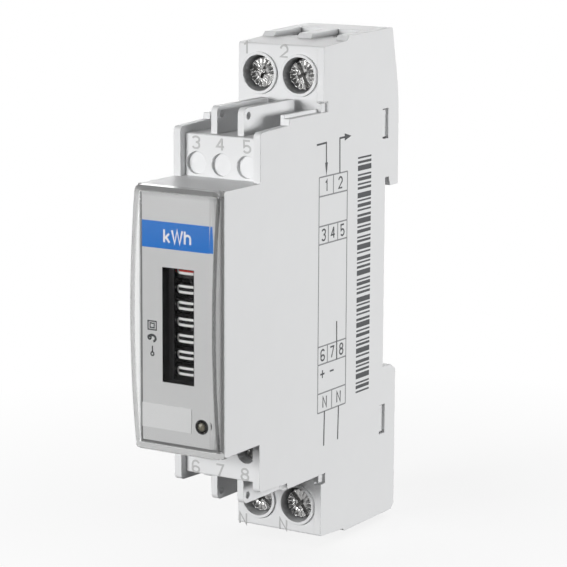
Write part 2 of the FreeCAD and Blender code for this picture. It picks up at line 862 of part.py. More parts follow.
def motor_coil():
    """Wound coil on top of the motor."""
    centre = (motor_y[0] + motor_y[1]) / 2
    axis_z = motor_z[1] + coil_radius
    winding = rod_x(centre, axis_z, coil_radius - 0.35, (-coil_length / 2, coil_length / 2))
    flanges = []
    for x in (-coil_length / 2, coil_length / 2 - 1.0):
        flanges.append(rod_x(centre, axis_z, coil_radius, (x, x + 1.0)))
    return fuse([winding] + flanges)


def hex_cross(radius, depth):
    """Combined cross and slot sunk into a screw head, about the Y axis."""
    slot = block((-radius * 0.86, radius * 0.86), (-1.0, depth), (-0.35, 0.35))
    bar = block((-radius * 0.5, radius * 0.5), (-1.0, depth * 1.3), (-0.3, 0.3))
    cross = bar.copy()
    cross.rotate(vec(0, 0, 0), vec(0, 1, 0), 90)
    return slot.fuse([cross])


def screw(x, z, head_y, head, height, shank, tip_y, turn):
    """Pan-headed clamp screw with a combined recess."""
    top = rod_y(0, 0, head, (0, height))
    top = top.makeChamfer(head * edge_share, [e for e in top.Edges if abs(e.BoundBox.YMax) < 1e-6])
    body = top.fuse(rod_y(0, 0, shank, (height - 0.1, tip_y - head_y)))
    body = body.cut(hex_cross(head, head * recess_share)).removeSplitter()
    body.rotate(vec(0, 0, 0), vec(0, 1, 0), turn)
    body.translate(vec(x, head_y, z))
    return body


def cage(x, z, size, front_y, nut, gap, wall, shank):
    """Box clamp: a threaded head wall, two sides and the bridge under the wire."""
    width_x, length_z = size
    end_y = front_y + nut + gap + wall
    outer = block((x - width_x / 2, x + width_x / 2), (front_y, end_y), (z - length_z / 2, z + length_z / 2))
    inside = block((x - width_x / 2 + wall, x + width_x / 2 - wall), (front_y + nut, front_y + nut + gap),
                   (z - length_z, z + length_z))
    bore = rod_y(x, z, shank + thread_clearance, (front_y - 1, front_y + nut + 1))
    return outer.cut([inside, bore])


def link_bar(side):
    """Bent strip that joins the two main terminals of one end inside the housing."""
    y = (bar_front_y, bar_rear_y)
    top = terminal_height + cage_length / 2 - 0.3
    low = bay_half - 2.6
    legs = []
    for x in terminal_xs:
        z = (low, top) if side > 0 else (-top, -low)
        legs.append(block((x - bar_width / 2, x + bar_width / 2), y, z))
    z = (low, low + 2.4) if side > 0 else (-low - 2.4, -low)
    bridge = block((left_terminal_x - bar_width / 2, right_terminal_x + bar_width / 2), y, z)
    return fuse(legs + [bridge])


def small_bars():
    """Three contact tongues of the pulse output, one in each small cage."""
    bars = []
    for x in small_xs:
        bars.append(block((x - small_bar_half, x + small_bar_half), small_bar_y, small_bar_z))
    return Part.makeCompound(bars)


def rail_clip():
    """Sliding catch: bevelled nose behind the rail, long window for its spring, foot with a slot."""
    z0, z1 = -bottom_hood - clip_foot, clip_top
    points = [(clip_y[0], z0, 0.3), (clip_y[0], z1 - 0.9), (clip_y[0] + 0.7, z1), (clip_y[1], z1 - 0.2),
              (clip_y[1], z0, 0.3)]
    body = plate_x(points, (-clip_width / 2, clip_width / 2))
    window = block((-spring_window / 2, spring_window / 2), (clip_y[0] - 1, clip_y[1] + 1),
                   (window_low, window_high))
    pull = block((-2.2, 2.2), (clip_y[0] + 0.7, clip_y[1] - 0.6), (z0 - 1, z0 + 2.0))
    return body.cut([window, pull])


def clip_spring():
    """Helical spring between the shell ledge and the top of the clip window, of faceted wire."""
    centre_y = (clip_y[0] + clip_y[1]) / 2
    middle = spring_radius - spring_wire / 2
    stations = spring_turns * spring_steps
    rings = []
    for i in range(stations + 1):
        turn = 2 * math.pi * i / spring_steps
        rise = spring_seat + spring_wire / 2 + (spring_length - spring_wire) * i / stations
        ring = []
        for k in range(spring_sides):
            angle = 2 * math.pi * k / spring_sides
            radius = middle + spring_wire / 2 * math.cos(angle)
            ring.append(vec(radius * math.cos(turn), centre_y + radius * math.sin(turn),
                            rise + spring_wire / 2 * math.sin(angle)))
        rings.append(ring)
    faces = []
    for low, high in zip(rings, rings[1:]):
        for k in range(spring_sides):
            n = (k + 1) % spring_sides
            faces.append(facet(low[k], low[n], high[n]))
            faces.append(facet(low[k], high[n], high[k]))
    for ring in (rings[0], rings[-1]):
        for k in range(1, spring_sides - 1):
            faces.append(facet(ring[0], ring[k], ring[k + 1]))
    coil = Part.makeSolid(Part.makeShell(faces))
    if coil.Volume < 0:
        coil.reverse()
    return coil


def circuit_board():
    x = (board_left, board_left + board_thickness)
    board = block(x, board_y, (board_bottom, board_top))
    holes = [rod_x(y, z, board_peg_radius, (x[0] - 1, x[1] + 1)) for y, z in board_pegs()]
    return board.cut(holes)


def standing_can(z, radius, length):
    """Electrolytic capacitor lying away from the board, with a bevelled top edge."""
    top = board_face + length
    can = rod_x(board_middle_y, z, radius, (board_face, top))
    return can.makeChamfer(can_bevel, [e for e in can.Edges if abs(e.BoundBox.XMin - top) < 1e-6])


def chip(z, size):
    """Flat package standing on its gull-wing leads."""
    low, high = board_middle_y - size[0] / 2, board_middle_y + size[0] / 2
    x = (board_face + lead_lift, board_face + size[2])
    body = block(x, (low, high), (z - size[1] / 2, z + size[1] / 2))
    count = int(size[1] / lead_pitch)
    x = (board_face, board_face + lead_lift + 0.2)
    reach = (low - lead_reach, high + lead_reach)
    leads = []
    for i in range(count):
        at = z + (i - (count - 1) / 2) * lead_pitch
        leads.append(block(x, reach, (at - lead_width / 2, at + lead_width / 2)))
    return body.fuse(leads).removeSplitter()


def build():
    save("housing_shell", housing_shell())
    save("side_cover", side_cover())
    save("front_cover", front_cover())
    save("label_plate", label_plate())
    save("blank_sticker", blank_sticker())
    save("lamp_lens", lamp_lens())
    save("counter_frame", counter_frame())
    save("drum_shaft", shaft(drum_y, drum_shaft_radius, 0.0))
    save("pinion_shaft", shaft(pinion_y, pinion_shaft_radius, motor_foot + 2.0))
    for i in range(drum_count):
        save("digit_drum_%d" % (i + 1), digit_drum(i))
    for i in range(drum_count - 1):
        save("carry_pinion_%d" % (i + 1), carry_pinion(i))
    save("motor_gear", motor_gear())
    save("motor_case", motor_case())
    save("motor_coil", motor_coil())
    names = ("line_in", "line_out", "neutral_left", "neutral_right")
    turns = (20, 65, 35, 50)
    for name, turn in zip(names, turns):
        side = -1 if "neutral" in name else 1
        x = left_terminal_x if name in ("line_in", "neutral_left") else right_terminal_x
        z = side * terminal_height
        save("screw_" + name, screw(x, z, head_front_y, head_radius, head_height, shank_radius,
                                    bar_front_y - 0.1, turn))
        save("cage_" + name, cage(x, z, (cage_width, cage_length), nut_front_y, cage_nut, cage_gap,
                                  cage_wall, shank_radius))
    save("line_shunt", link_bar(1))
    save("neutral_link", link_bar(-1))
    small_size = (small_cage_width, small_cage_length)
    for number, x in zip((6, 7, 8), small_xs):
        head_y = -face_depth + small_head_setback
        save("pulse_screw_%d" % number, screw(x, -small_height, head_y, small_head_radius, small_head_height,
                                              small_shank_radius, small_bar_y[0] - 0.1, small_turn * number))
        save("pulse_cage_%d" % number, cage(x, -small_height, small_size, small_nut_front_y, small_cage_nut,
                                            small_cage_gap, small_cage_wall, small_shank_radius))
    save("pulse_contacts", small_bars())
    save("rail_clip", rail_clip())
    save("clip_spring", clip_spring())
    save("circuit_board", circuit_board())
    save("main_capacitor", standing_can(main_can_height, main_can_radius, main_can_length))
    save("small_capacitor", standing_can(small_can_height, small_can_radius, small_can_length))
    save("metering_chip", chip(chip_height, chip_size))
    save("pulse_coupler", chip(coupler_height, coupler_size))


build()
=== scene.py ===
"""Rail-mounted energy meter: finishes, printing, counter figures, camera and light round the frame."""

import math

import bmesh
import bpy
from bpy.props import FloatProperty, FloatVectorProperty, PointerProperty
from mathutils import Matrix, Vector


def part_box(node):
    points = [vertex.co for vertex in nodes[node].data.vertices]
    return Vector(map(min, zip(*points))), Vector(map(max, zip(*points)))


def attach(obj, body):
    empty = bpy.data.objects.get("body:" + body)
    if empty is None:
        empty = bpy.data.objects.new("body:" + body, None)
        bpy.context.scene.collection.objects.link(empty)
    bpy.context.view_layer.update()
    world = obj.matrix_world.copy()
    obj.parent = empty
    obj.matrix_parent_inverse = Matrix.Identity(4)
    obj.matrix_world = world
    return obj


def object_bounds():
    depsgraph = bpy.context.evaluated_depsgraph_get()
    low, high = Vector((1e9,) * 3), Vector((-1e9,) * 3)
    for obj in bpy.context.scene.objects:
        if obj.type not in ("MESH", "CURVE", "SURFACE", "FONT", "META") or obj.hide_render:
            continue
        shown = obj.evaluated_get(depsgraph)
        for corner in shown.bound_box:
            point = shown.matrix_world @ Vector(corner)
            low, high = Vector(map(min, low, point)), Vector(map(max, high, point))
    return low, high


bl_info = {
    "name": "Rail energy meter",
    "version": (1, 0, 0),
    "blender": (4, 5, 0),
    "location": "View3D > Sidebar > Rail meter",
    "description": "Dresses the slim rail-mounted energy meter and lights it for a picture",
    "category": "Object",
}

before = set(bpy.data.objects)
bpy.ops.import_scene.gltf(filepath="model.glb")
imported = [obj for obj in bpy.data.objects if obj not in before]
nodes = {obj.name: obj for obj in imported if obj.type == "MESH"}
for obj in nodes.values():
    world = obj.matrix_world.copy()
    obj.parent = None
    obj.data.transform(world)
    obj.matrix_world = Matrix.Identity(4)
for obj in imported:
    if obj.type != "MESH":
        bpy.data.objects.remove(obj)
case_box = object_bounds()
MM = 0.001
FIGURE_STEP = math.radians(36)      # between neighbouring figures of a drum
CORNER_STEP = math.radians(12)      # between the points of a rounded stroke
LAYER = 0.0000015                   # lines that cross lie on one another by this much
INK_FOOT = -0.00001                 # prints start this far inside their surface
COUNTER_WINDOW = (-3.15, -10.6, 3.15, 8.9)      # left, low, right and high edge of the label's opening
SCREW_TURNS = {"line_in": 20, "line_out": 65, "neutral_left": 35, "neutral_right": 50}      # of the slots
CROWN_POINTS = 32                   # round a screw's head: ridges and valleys in turn
CROWN_RINGS = ((0.42, 0.00016, 0.00016), (0.60, 0.00034, 0.00016), (0.90, 0.00042, 0.00006),
               (0.93, 0.0002, 0.0002), (0.985, 0.00016, 0.00016),
               (0.985, -0.00025, -0.00025))     # share of the radius, height of a ridge, height of a valley
CROWN_GAP = 0.00038                 # half the width that the slot leaves open


# Sizes and colours

class ShellSettings(bpy.types.PropertyGroup):
    colour: FloatVectorProperty(name="Colour", description="Light grey of the moulded shell",
                                default=(0.78, 0.785, 0.79), subtype="COLOR", min=0, max=1)
    clip_colour: FloatVectorProperty(name="Clip colour", description="Grey of the rail clip",
                                     default=(0.74, 0.745, 0.75), subtype="COLOR", min=0, max=1)
    gloss: FloatProperty(name="Roughness", description="Mean roughness of the moulding",
                         default=0.5, min=0, max=1)
    grain: FloatProperty(name="Grain", description="Width of the spark-eroded grain",
                         default=0.00035, unit="LENGTH")
    grain_depth: FloatProperty(name="Grain depth", description="Depth of the grain",
                               default=0.000012, unit="LENGTH")
    edge: FloatProperty(name="Edge", description="Radius of the broken edges", default=0.00016, unit="LENGTH")


class WindowSettings(bpy.types.PropertyGroup):
    colour: FloatVectorProperty(name="Tint", description="Tint of the clear front cover",
                                default=(0.92, 0.922, 0.922), subtype="COLOR", min=0, max=1)
    gloss: FloatProperty(name="Roughness", description="Roughness of the polished cover",
                         default=0.06, min=0, max=1)
    # Painted shade: each rim of the clear cover gets its own grey sheet behind it, darkest on the right,
    # standing for the shade seen through the thick rims.
    left_rim_shade: FloatProperty(name="Left rim", description="Grey behind the cover's left rim",
                            default=0.55, min=0, max=1)
    right_rim_shade: FloatProperty(name="Right rim", description="Grey behind the right rim",
                             default=0.2, min=0, max=1)
    top_rim_shade: FloatProperty(name="Top rim", description="Grey behind the top rim", default=0.3, min=0, max=1)
    foot_rim_shade: FloatProperty(name="Foot rim", description="Grey behind the foot's rim",
                            default=0.6, min=0, max=1)
    ripple: FloatProperty(name="Ripple", description="Depth of the moulding ripple",
                          default=0.000004, unit="LENGTH")


class PrintSettings(bpy.types.PropertyGroup):
    ink: FloatVectorProperty(name="Ink", description="Grey ink of the wiring diagram",
                             default=(0.085, 0.088, 0.092), subtype="COLOR", min=0, max=1)
    fine_ink: FloatVectorProperty(name="Fine line ink", description="Paler ink of the thin lines",
                                  default=(0.26, 0.265, 0.27), subtype="COLOR", min=0, max=1)
    # Painted shade: the moulded numerals have the shell's own grey; this darker grey stands for the shade on
    # their edges.
    numeral_painted_shade: FloatVectorProperty(name="Numerals", description="Pale ink of the terminal numerals",
                                     default=(0.50, 0.50, 0.50), subtype="COLOR", min=0, max=1)
    label: FloatVectorProperty(name="Label", description="Grey of the front label",
                               default=(0.665, 0.665, 0.665), subtype="COLOR", min=0, max=1)
    band: FloatVectorProperty(name="Band", description="Blue of the unit's band",
                              default=(0.006, 0.165, 0.585), subtype="COLOR", min=0, max=1)
    paper: FloatVectorProperty(name="Sticker", description="White of the blank sticker",
                               default=(0.80, 0.80, 0.80), subtype="COLOR", min=0, max=1)
    line: FloatProperty(name="Line", description="Width of the diagram's lines",
                        default=0.00025, unit="LENGTH")
    numeral_line: FloatProperty(name="Numeral line", description="Line width of the terminal numerals",
                                default=0.00034, unit="LENGTH")
    rise: FloatProperty(name="Rise", description="Height of the ink", default=0.000015, unit="LENGTH")


class CounterSettings(bpy.types.PropertyGroup):
    drum: FloatVectorProperty(name="Drum", description="Black of the whole-unit drums",
                              default=(0.007, 0.007, 0.0075), subtype="COLOR", min=0, max=1)
    tenths: FloatVectorProperty(name="Tenths drum", description="Red of the fastest drum",
                                default=(0.45, 0.030, 0.022), subtype="COLOR", min=0, max=1)
    red_edge: FloatProperty(name="Red edge", description="Height of the red drum's lower edge",
                            default=0.0076, unit="LENGTH")
    figure: FloatVectorProperty(name="Figures", description="White of the drum figures",
                                default=(0.80, 0.80, 0.78), subtype="COLOR", min=0, max=1)
    figure_width: FloatProperty(name="Figure width", description="Along the axis",
                                default=0.00143, unit="LENGTH")
    figure_height: FloatProperty(name="Figure height", description="Round the drum",
                                 default=0.0041, unit="LENGTH")
    tenths_shift: FloatProperty(name="Tenths shift",
                                description="Height of the fastest drum's figures over its middle",
                                default=0.00039, unit="LENGTH")
    stroke: FloatProperty(name="Stroke", description="Line width of the figures",
                          default=0.00042, unit="LENGTH")


class MetalSettings(bpy.types.PropertyGroup):
    nickel: FloatVectorProperty(name="Nickel", description="Plated screws and cages",
                                default=(0.37, 0.368, 0.364), subtype="COLOR", min=0, max=1)
    steel: FloatVectorProperty(name="Steel", description="Shafts, spring and motor case",
                               default=(0.56, 0.56, 0.56), subtype="COLOR", min=0, max=1)
    brass: FloatVectorProperty(name="Brass", description="Straps and contacts",
                               default=(0.76, 0.57, 0.26), subtype="COLOR", min=0, max=1)


class StudioSettings(bpy.types.PropertyGroup):
    eye: FloatVectorProperty(name="Camera", description="Camera position",
                             default=(0.2281118, -0.3876097, 0.0835319), subtype="TRANSLATION", unit="LENGTH")
    azimuth: FloatProperty(name="Azimuth", description="Camera direction round the meter",
                           default=math.radians(31.87), subtype="ANGLE")
    elevation: FloatProperty(name="Elevation", description="Camera direction above the floor",
                             default=math.radians(10.79), subtype="ANGLE")
    roll: FloatProperty(name="Roll", description="Camera roll", default=math.radians(0.285), subtype="ANGLE")
    lens: FloatProperty(name="Lens", description="Focal length on a 36 mm sensor, in millimetres",
                        default=157.02)
    key: FloatProperty(name="Key light", description="Soft box ahead and to the left, in watts", default=8.8)
    side: FloatProperty(name="Side light", description="Soft box on the right, in watts", default=9.0)
    top: FloatProperty(name="Top light", description="Soft box high behind the meter, in watts", default=2.6)
    back: FloatProperty(name="Back light", description="Soft box behind and to the left, in watts",
                        default=3.2)
    ambient: FloatProperty(name="Ambient", description="Strength of the grey surroundings", default=0.065)


# Shader maths

class Signal:
    """A node's output in a material's tree. Python's operators on it add Math nodes."""

    def __init__(self, finish, socket):
        self.finish = finish
        self.socket = socket

    def maths(self, operation, left, right=0.0, **settings):
        settings["operation"] = operation
        return self.finish.node("Math", settings, {0: left, 1: right})

    def __add__(self, other):
        return self.maths("ADD", self, other)

    __radd__ = __add__

    def __sub__(self, other):
        return self.maths("SUBTRACT", self, other)

    def __rsub__(self, other):
        return self.maths("SUBTRACT", other, self)

    def __mul__(self, other):
        return self.maths("MULTIPLY", self, other)

    __rmul__ = __mul__

    def __gt__(self, other):
        return self.maths("GREATER_THAN", self, other)

    def __lt__(self, other):
        return self.maths("LESS_THAN", self, other)

    def clamped(self):
        return self.maths("ADD", self, 0.0, use_clamp=True)

    def wave(self):
        return self.maths("SINE", self)


class Finish:
    """A material under construction."""

    def __init__(self, name=None, tree=None):
        if tree is None:
            self.material = bpy.data.materials.new(name)
            self.material.use_nodes = True
            tree = self.material.node_tree
        self.tree = tree
        self.tree.nodes.clear()
        self.place = self.node("TexCoord", output="Object")

    def node(self, kind, settings=None, inputs=None, output=0):
        """Adds a node: its settings first, then the values or links of its inputs."""
        node = self.tree.nodes.new("ShaderNode" + kind)
        for key, value in (settings or {}).items():
            setattr(node, key, value)
        for key, value in (inputs or {}).items():
            if isinstance(value, Signal):
                self.tree.links.new(value.socket, node.inputs[key])
            elif isinstance(value, (int, float)) or len(value) != 3 or node.inputs[key].type == "VECTOR":
                node.inputs[key].default_value = value
            else:
                node.inputs[key].default_value = (*value, 1)
        return Signal(self, node.outputs[output])

    def parts(self, vector):
        """The three components of a vector."""
        split = self.tree.nodes.new("ShaderNodeSeparateXYZ")
        self.tree.links.new(vector.socket, split.inputs[0])
        return [Signal(self, socket) for socket in split.outputs]

    def noise(self, scale, detail=2.0, roughness=0.5, at=None):
        return self.node("TexNoise", None, {"Vector": at or self.place, "Scale": scale, "Detail": detail,
                                            "Roughness": roughness})

    def blend(self, factor, first, second):
        """Mixes two colours."""
        return self.node("Mix", {"data_type": "RGBA"}, {0: factor, 6: first, 7: second}, output=2)

    def bump(self, height, distance, under=None):
        inputs = {"Height": height, "Distance": distance, "Strength": 1.0}
        if under is not None:
            inputs["Normal"] = under
        return self.node("Bump", None, inputs)

    def rounded(self, radius):
        """A normal that turns smoothly over sharp edges."""
        return self.node("Bevel", {"samples": 4}, {"Radius": radius})

    def surface(self, **inputs):
        named = {key.replace("_", " ").title().replace("Ior", "IOR"): value for key, value in inputs.items()}
        return self.node("BsdfPrincipled", None, named)

    def done(self, shader):
        output = self.tree.nodes.new("ShaderNodeOutputMaterial")
        self.tree.links.new(shader.socket, output.inputs["Surface"])
        return self.material


def tone(colour, factor):
    return tuple(min(1.0, c * factor) for c in colour)


# Finishes

def moulded_plastic(name, colour, settings, depth=1.0):
    """Fine spark-eroded moulding with faint flow marks and softly broken edges."""
    f = Finish(name)
    flow = f.noise(38, 3, 0.6)
    streak = f.noise(240, 2, 0.5)
    grain = f.noise(1 / settings.grain, 2, 0.65)
    pits = f.noise(0.45 / settings.grain, 1, 0.5)
    shade = (flow * 0.65 + streak * 0.35).clamped()
    base = f.blend(shade, tone(colour, 0.965), tone(colour, 1.03))
    base = f.blend((grain - 0.62) * 1.2, base, tone(colour, 0.90))
    rough = settings.gloss - 0.05 + flow * 0.10 + (grain - 0.5) * 0.12
    height = grain * 0.7 + pits * 0.3
    normal = f.bump(height, settings.grain_depth * depth, f.rounded(settings.edge))
    return f.done(f.surface(base_color=base, roughness=rough.clamped(), normal=normal,
                            specular_ior_level=0.16))


def clear_plastic(name, settings):
    """Polished clear cover with slight moulding ripple and rub marks, its tint darkened along the top as
    painted shade.
    """
    f = Finish(name)
    ripple = f.noise(110, 2, 0.4)
    rub = f.noise(900, 3, 0.7)
    normal = f.bump(ripple, settings.ripple, f.rounded(0.00022))
    x, y, z = f.parts(f.place)
    # Painted shade: the tint darkens to 0.55 over the cover's top 1.8 mm, where the roughness also rises.
    head = ((z - (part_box("front_cover")[1].z - 0.0018)) * 900).clamped()
    tint = f.blend(head, tuple(settings.colour), tone(settings.colour, 0.55))
    rough = settings.gloss + (rub - 0.55).clamped() * 0.16 + head * 0.25
    glass = f.surface(base_color=tint, roughness=rough, normal=normal, transmission_weight=1.0,
                      ior=1.49, specular_tint=(0.04, 0.04, 0.04))
    through = f.node("BsdfTransparent", None, {"Color": tuple(settings.colour)})
    lit = f.node("MixShader", None, {0: f.node("LightPath", output="Is Shadow Ray"), 1: glass, 2: through})
    scattered, depth = [f.node("LightPath", output=path) for path in ("Is Diffuse Ray", "Glossy Depth")]
    return f.done(f.node("MixShader", None, {0: (scattered + (depth > 2)).clamped(), 1: lit, 2: through}))


def printed(name, colour, rough=0.5, speckle=0.06):
    """Screen-printed ink: slightly uneven cover over the grain beneath."""
    f = Finish(name)
    cover = f.noise(1500, 3, 0.7)
    patch = f.noise(160, 2, 0.5)
    base = f.blend((cover * 0.6 + patch * 0.4).clamped(), tone(colour, 1 - speckle),
                   tone(colour, 1 + 2 * speckle))
    normal = f.bump(cover, 0.000004)
    return f.done(f.surface(base_color=base, roughness=rough - 0.06 + cover * 0.12, normal=normal,
                            specular_ior_level=0.15))


def label_stock(name, colour, rough=0.52):
    """Printed plastic sheet with a very fine screen and a soft sheen."""
    f = Finish(name)
    x, y, z = f.parts(f.place)
    screen = (x * 21000).wave() * (z * 21000).wave()
    cloud = f.noise(70, 3, 0.55)
    fibre = f.noise(2600, 2, 0.6)
    base = f.blend(cloud, tone(colour, 0.97), tone(colour, 1.025))
    base = f.blend((screen * 0.5 + 0.5) * 0.05, base, tone(colour, 0.6))
    normal = f.bump(fibre, 0.000004)
    return f.done(f.surface(base_color=base, roughness=rough - 0.05 + fibre * 0.1, normal=normal,
                            specular_ior_level=0.15))


def satin_plastic(name, colour, rough=0.4, wear=0.08, gleam=0.5):
    """Small injection-moulded pieces: even colour, tiny scuffs, soft edges."""
    f = Finish(name)
    cloud = f.noise(300, 3, 0.6)
    scuff = f.noise(2400, 4, 0.75)
    mask = ((scuff - 0.60) * 6).clamped()
    base = f.blend(cloud, tone(colour, 1 - wear), tone(colour, 1 + wear))
    base = f.blend(mask * 0.3, base, tone(colour, 1.5))
    normal = f.bump(scuff, 0.000004, f.rounded(0.00006))
    return f.done(f.surface(base_color=base, roughness=rough + (cloud - 0.5) * 0.14 + mask * 0.15,
                            normal=normal, specular_ior_level=gleam))


def half_red(name, look):
    """The fastest drum: red above its lower edge, black below, with tiny scuffs."""
    f = Finish(name)
    x, y, z = f.parts(f.place)
    above = ((z - look.red_edge) * 9000).clamped()
    scuff = f.noise(2400, 4, 0.75)
    base = f.blend(above, tuple(look.drum), tuple(look.tenths))
    base = f.blend(((scuff - 0.60) * 4).clamped() * 0.3, base, (0.3, 0.12, 0.10))
    return f.done(f.surface(base_color=base, roughness=0.5 + scuff * 0.1, normal=f.bump(scuff, 0.000004),
                            specular_ior_level=0.2))


def plated_metal(name, colour, rough=0.26, turned=False):
    """Plated steel with fine tooling lines, tiny pits and dull patches."""
    f = Finish(name)
    x, y, z = f.parts(f.place)
    stretched = f.node("Mapping", None,
                       {"Vector": f.place, "Scale": (260, 5200, 260) if turned else (5200, 260, 900)})
    lines = f.noise(1.0, 3, 0.6, stretched)
    patch = f.noise(420, 3, 0.6)
    pits = ((f.noise(3800, 2, 0.6) - 0.68) * 7).clamped()
    base = f.blend(patch, tone(colour, 0.86), tone(colour, 1.1))
    base = f.blend(pits * 0.7, base, tone(colour, 0.35))
    rough_now = rough - 0.08 + patch * 0.16 + (lines - 0.5) * 0.18 + pits * 0.3
    normal = f.bump(lines - pits * 0.8, 0.000005, f.rounded(0.00012))
    return f.done(f.surface(base_color=base, metallic=1.0, roughness=rough_now.clamped(), normal=normal))


def wound_wire(name, colour):
    """Enamelled copper wire laid turn beside turn along the coil, darker between the turns as painted shade.
    """
    f = Finish(name)
    x, y, z = f.parts(f.place)
    turns = (z * (2 * math.pi / 0.00022)).wave() * 0.5 + 0.5
    cloud = f.noise(700, 2, 0.5)
    # Painted shade: the colour darkens in the valleys between turns; the bump below gives the real relief.
    base = f.blend(turns, tone(colour, 0.32), tone(colour, 1.05))
    base = f.blend(cloud * 0.3, base, tone(colour, 0.7))
    normal = f.bump(turns, 0.00006)
    return f.done(f.surface(base_color=base, metallic=0.75, roughness=0.24 + cloud * 0.14, normal=normal,
                            coat_weight=0.5))


def solder_resist(name, colour):
    """Green board with darker copper tracks under the resist and tinned pads."""
    f = Finish(name)
    x, y, z = f.parts(f.place)
    settings = {"offset": 0.37, "squash": 0.6, "squash_frequency": 3}
    across = f.node("CombineXYZ", None, {0: y, 1: z, 2: x})
    tracks = f.node("TexBrick", settings, {"Vector": across, "Scale": 160, "Mortar Size": 0.022,
                                           "Brick Width": 0.9, "Row Height": 0.32}, output="Fac")
    pads = f.node("TexVoronoi", {"feature": "F1"}, {"Vector": across, "Scale": 330, "Randomness": 0.35})
    dot = (0.22 - pads).clamped() * 14
    cloud = f.noise(180, 2, 0.5)
    base = f.blend(cloud, tone(colour, 0.85), tone(colour, 1.15))
    base = f.blend(tracks.clamped() * 0.8, base, (0.012, 0.12, 0.045))
    base = f.blend(dot.clamped(), base, (0.72, 0.70, 0.66))
    height = tracks * 0.5 + dot.clamped()
    return f.done(f.surface(base_color=base, metallic=dot.clamped() * 0.9, roughness=0.24 + cloud * 0.12,
                            normal=f.bump(height, 0.00003), coat_weight=0.3))


def sleeved_can(name, colour):
    """Heat-shrunk sleeve of a capacitor with a pale stripe down its length."""
    f = Finish(name)
    x, y, z = f.parts(f.place)
    stripe = ((z - 0.0175) * 4000).clamped() * ((0.0195 - z) * 4000).clamped()
    cloud = f.noise(260, 3, 0.6)
    base = f.blend(cloud, tone(colour, 0.85), tone(colour, 1.15))
    base = f.blend(stripe, base, (0.55, 0.57, 0.60))
    normal = f.bump(cloud, 0.00002, f.rounded(0.0002))
    return f.done(f.surface(base_color=base, roughness=0.3 + cloud * 0.1, normal=normal, coat_weight=0.2))


def lamp_resin(name):
    """Tinted water-clear resin of the pulse lamp, darker towards its rim, with a painted highlight of pale
    specks near its middle.
    """
    f = Finish(name)
    x, y, z = f.parts(f.place)
    dx, dz = (x - 0.00475) * 1000, (z + 0.0174) * 1000
    out = dx * dx + dz * dz
    base = f.blend(((out - 0.12) * 2.2).clamped(), (0.17, 0.155, 0.11), (0.010, 0.009, 0.008))
    speck = f.noise(1800, 2, 0.5)
    # Painted highlight: pale specks that fade out towards the rim.
    painted_glint = ((f.noise(1500, 1, 0.4) - 0.56) * 12).clamped() * (1 - (out * 2.0).clamped())
    base = f.blend(painted_glint, base, (0.55, 0.52, 0.44))
    return f.done(f.surface(base_color=base, roughness=0.2 + speck * 0.08, normal=f.bump(speck, 0.000006),
                            specular_ior_level=0.2))


def coat(names, material):
    """Gives CAD nodes a finish without touching their meshes."""
    for name in names:
        node = nodes[name]
        if not node.material_slots:
            raise RuntimeError("no material slot on " + name)
        for slot in node.material_slots:
            slot.link = "OBJECT"
            slot.material = material


# Flat printing. A flat is (points, faces) in the plane of its surface, in millimetres.

def front(depth):
    """Places x, z points on a plane that faces the viewer."""
    return lambda u, v, rise: Vector((u * MM, depth * MM - rise, v * MM))


def flank(across):
    """Places y, z points on a plane that faces right."""
    return lambda u, v, rise: Vector((across * MM + rise, u * MM, v * MM))


def nodes_front(name):
    """The front plane of a node, in millimetres."""
    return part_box(name)[0].y / MM


def nodes_right(name):
    """The right-hand plane of a node, in millimetres."""
    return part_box(name)[1].x / MM


def drum_face(radius, axis_depth, height):
    """Wraps points round a drum: u along its axis, v up its front."""
    def place(u, v, rise):
        angle = v / radius
        out = radius * MM + rise
        return Vector((-out * math.sin(angle), axis_depth * MM - out * math.cos(angle), (height + u) * MM))
    return place


def arc(centre, radius, start, end):
    """Points of a circular or oval arc; angles in degrees."""
    rx, ry = radius if hasattr(radius, "__len__") else (radius, radius)
    count = max(2, int(math.ceil(math.radians(abs(end - start)) / CORNER_STEP)))
    turns = [math.radians(start + (end - start) * i / count) for i in range(count + 1)]
    return [(centre[0] + rx * math.cos(t), centre[1] + ry * math.sin(t)) for t in turns]


def dense(points, spacing, closed=False):
    """The same line with no two points further apart than spacing."""
    ends = points[1:] + points[:1] if closed else points[1:]
    out = []
    for a, b in zip(points, ends):
        count = max(1, int(math.ceil(math.dist(a, b) / spacing)))
        out += [(a[0] + (b[0] - a[0]) * i / count, a[1] + (b[1] - a[1]) * i / count) for i in range(count)]
    return out if closed else out + [points[-1]]


def stroke(points, width, closed=False):
    """A line of constant width with mitred corners."""
    count = len(points)
    sides = []
    for i, p in enumerate(points):
        before = points[i - 1] if i or closed else None
        after = points[(i + 1) % count] if i < count - 1 or closed else None
        first = Vector(p) - Vector(before) if before else Vector(after) - Vector(p)
        second = Vector(after) - Vector(p) if after else first
        a, b = first.normalized(), second.normalized()
        turn = Vector((-a.y - b.y, a.x + b.x)).normalized()
        reach = width / 2 / max(0.5, turn.dot(Vector((-a.y, a.x))))
        sides.append((p[0] + turn.x * reach, p[1] + turn.y * reach))
        sides.append((p[0] - turn.x * reach, p[1] - turn.y * reach))
    spans = range(count if closed else count - 1)
    return sides, [(2 * i, 2 * i + 1, (2 * i + 3) % (2 * count), (2 * i + 2) % (2 * count)) for i in spans]


def field(points):
    """A filled outline."""
    return list(points), [tuple(range(len(points)))]


def box_field(u0, v0, u1, v1):
    return field([(u0, v0), (u1, v0), (u1, v1), (u0, v1)])


def around(centre, size):
    """A box of the given width and height about its centre."""
    return ((centre[0] - size[0] / 2, centre[1] - size[1] / 2),
            (centre[0] + size[0] / 2, centre[1] + size[1] / 2))


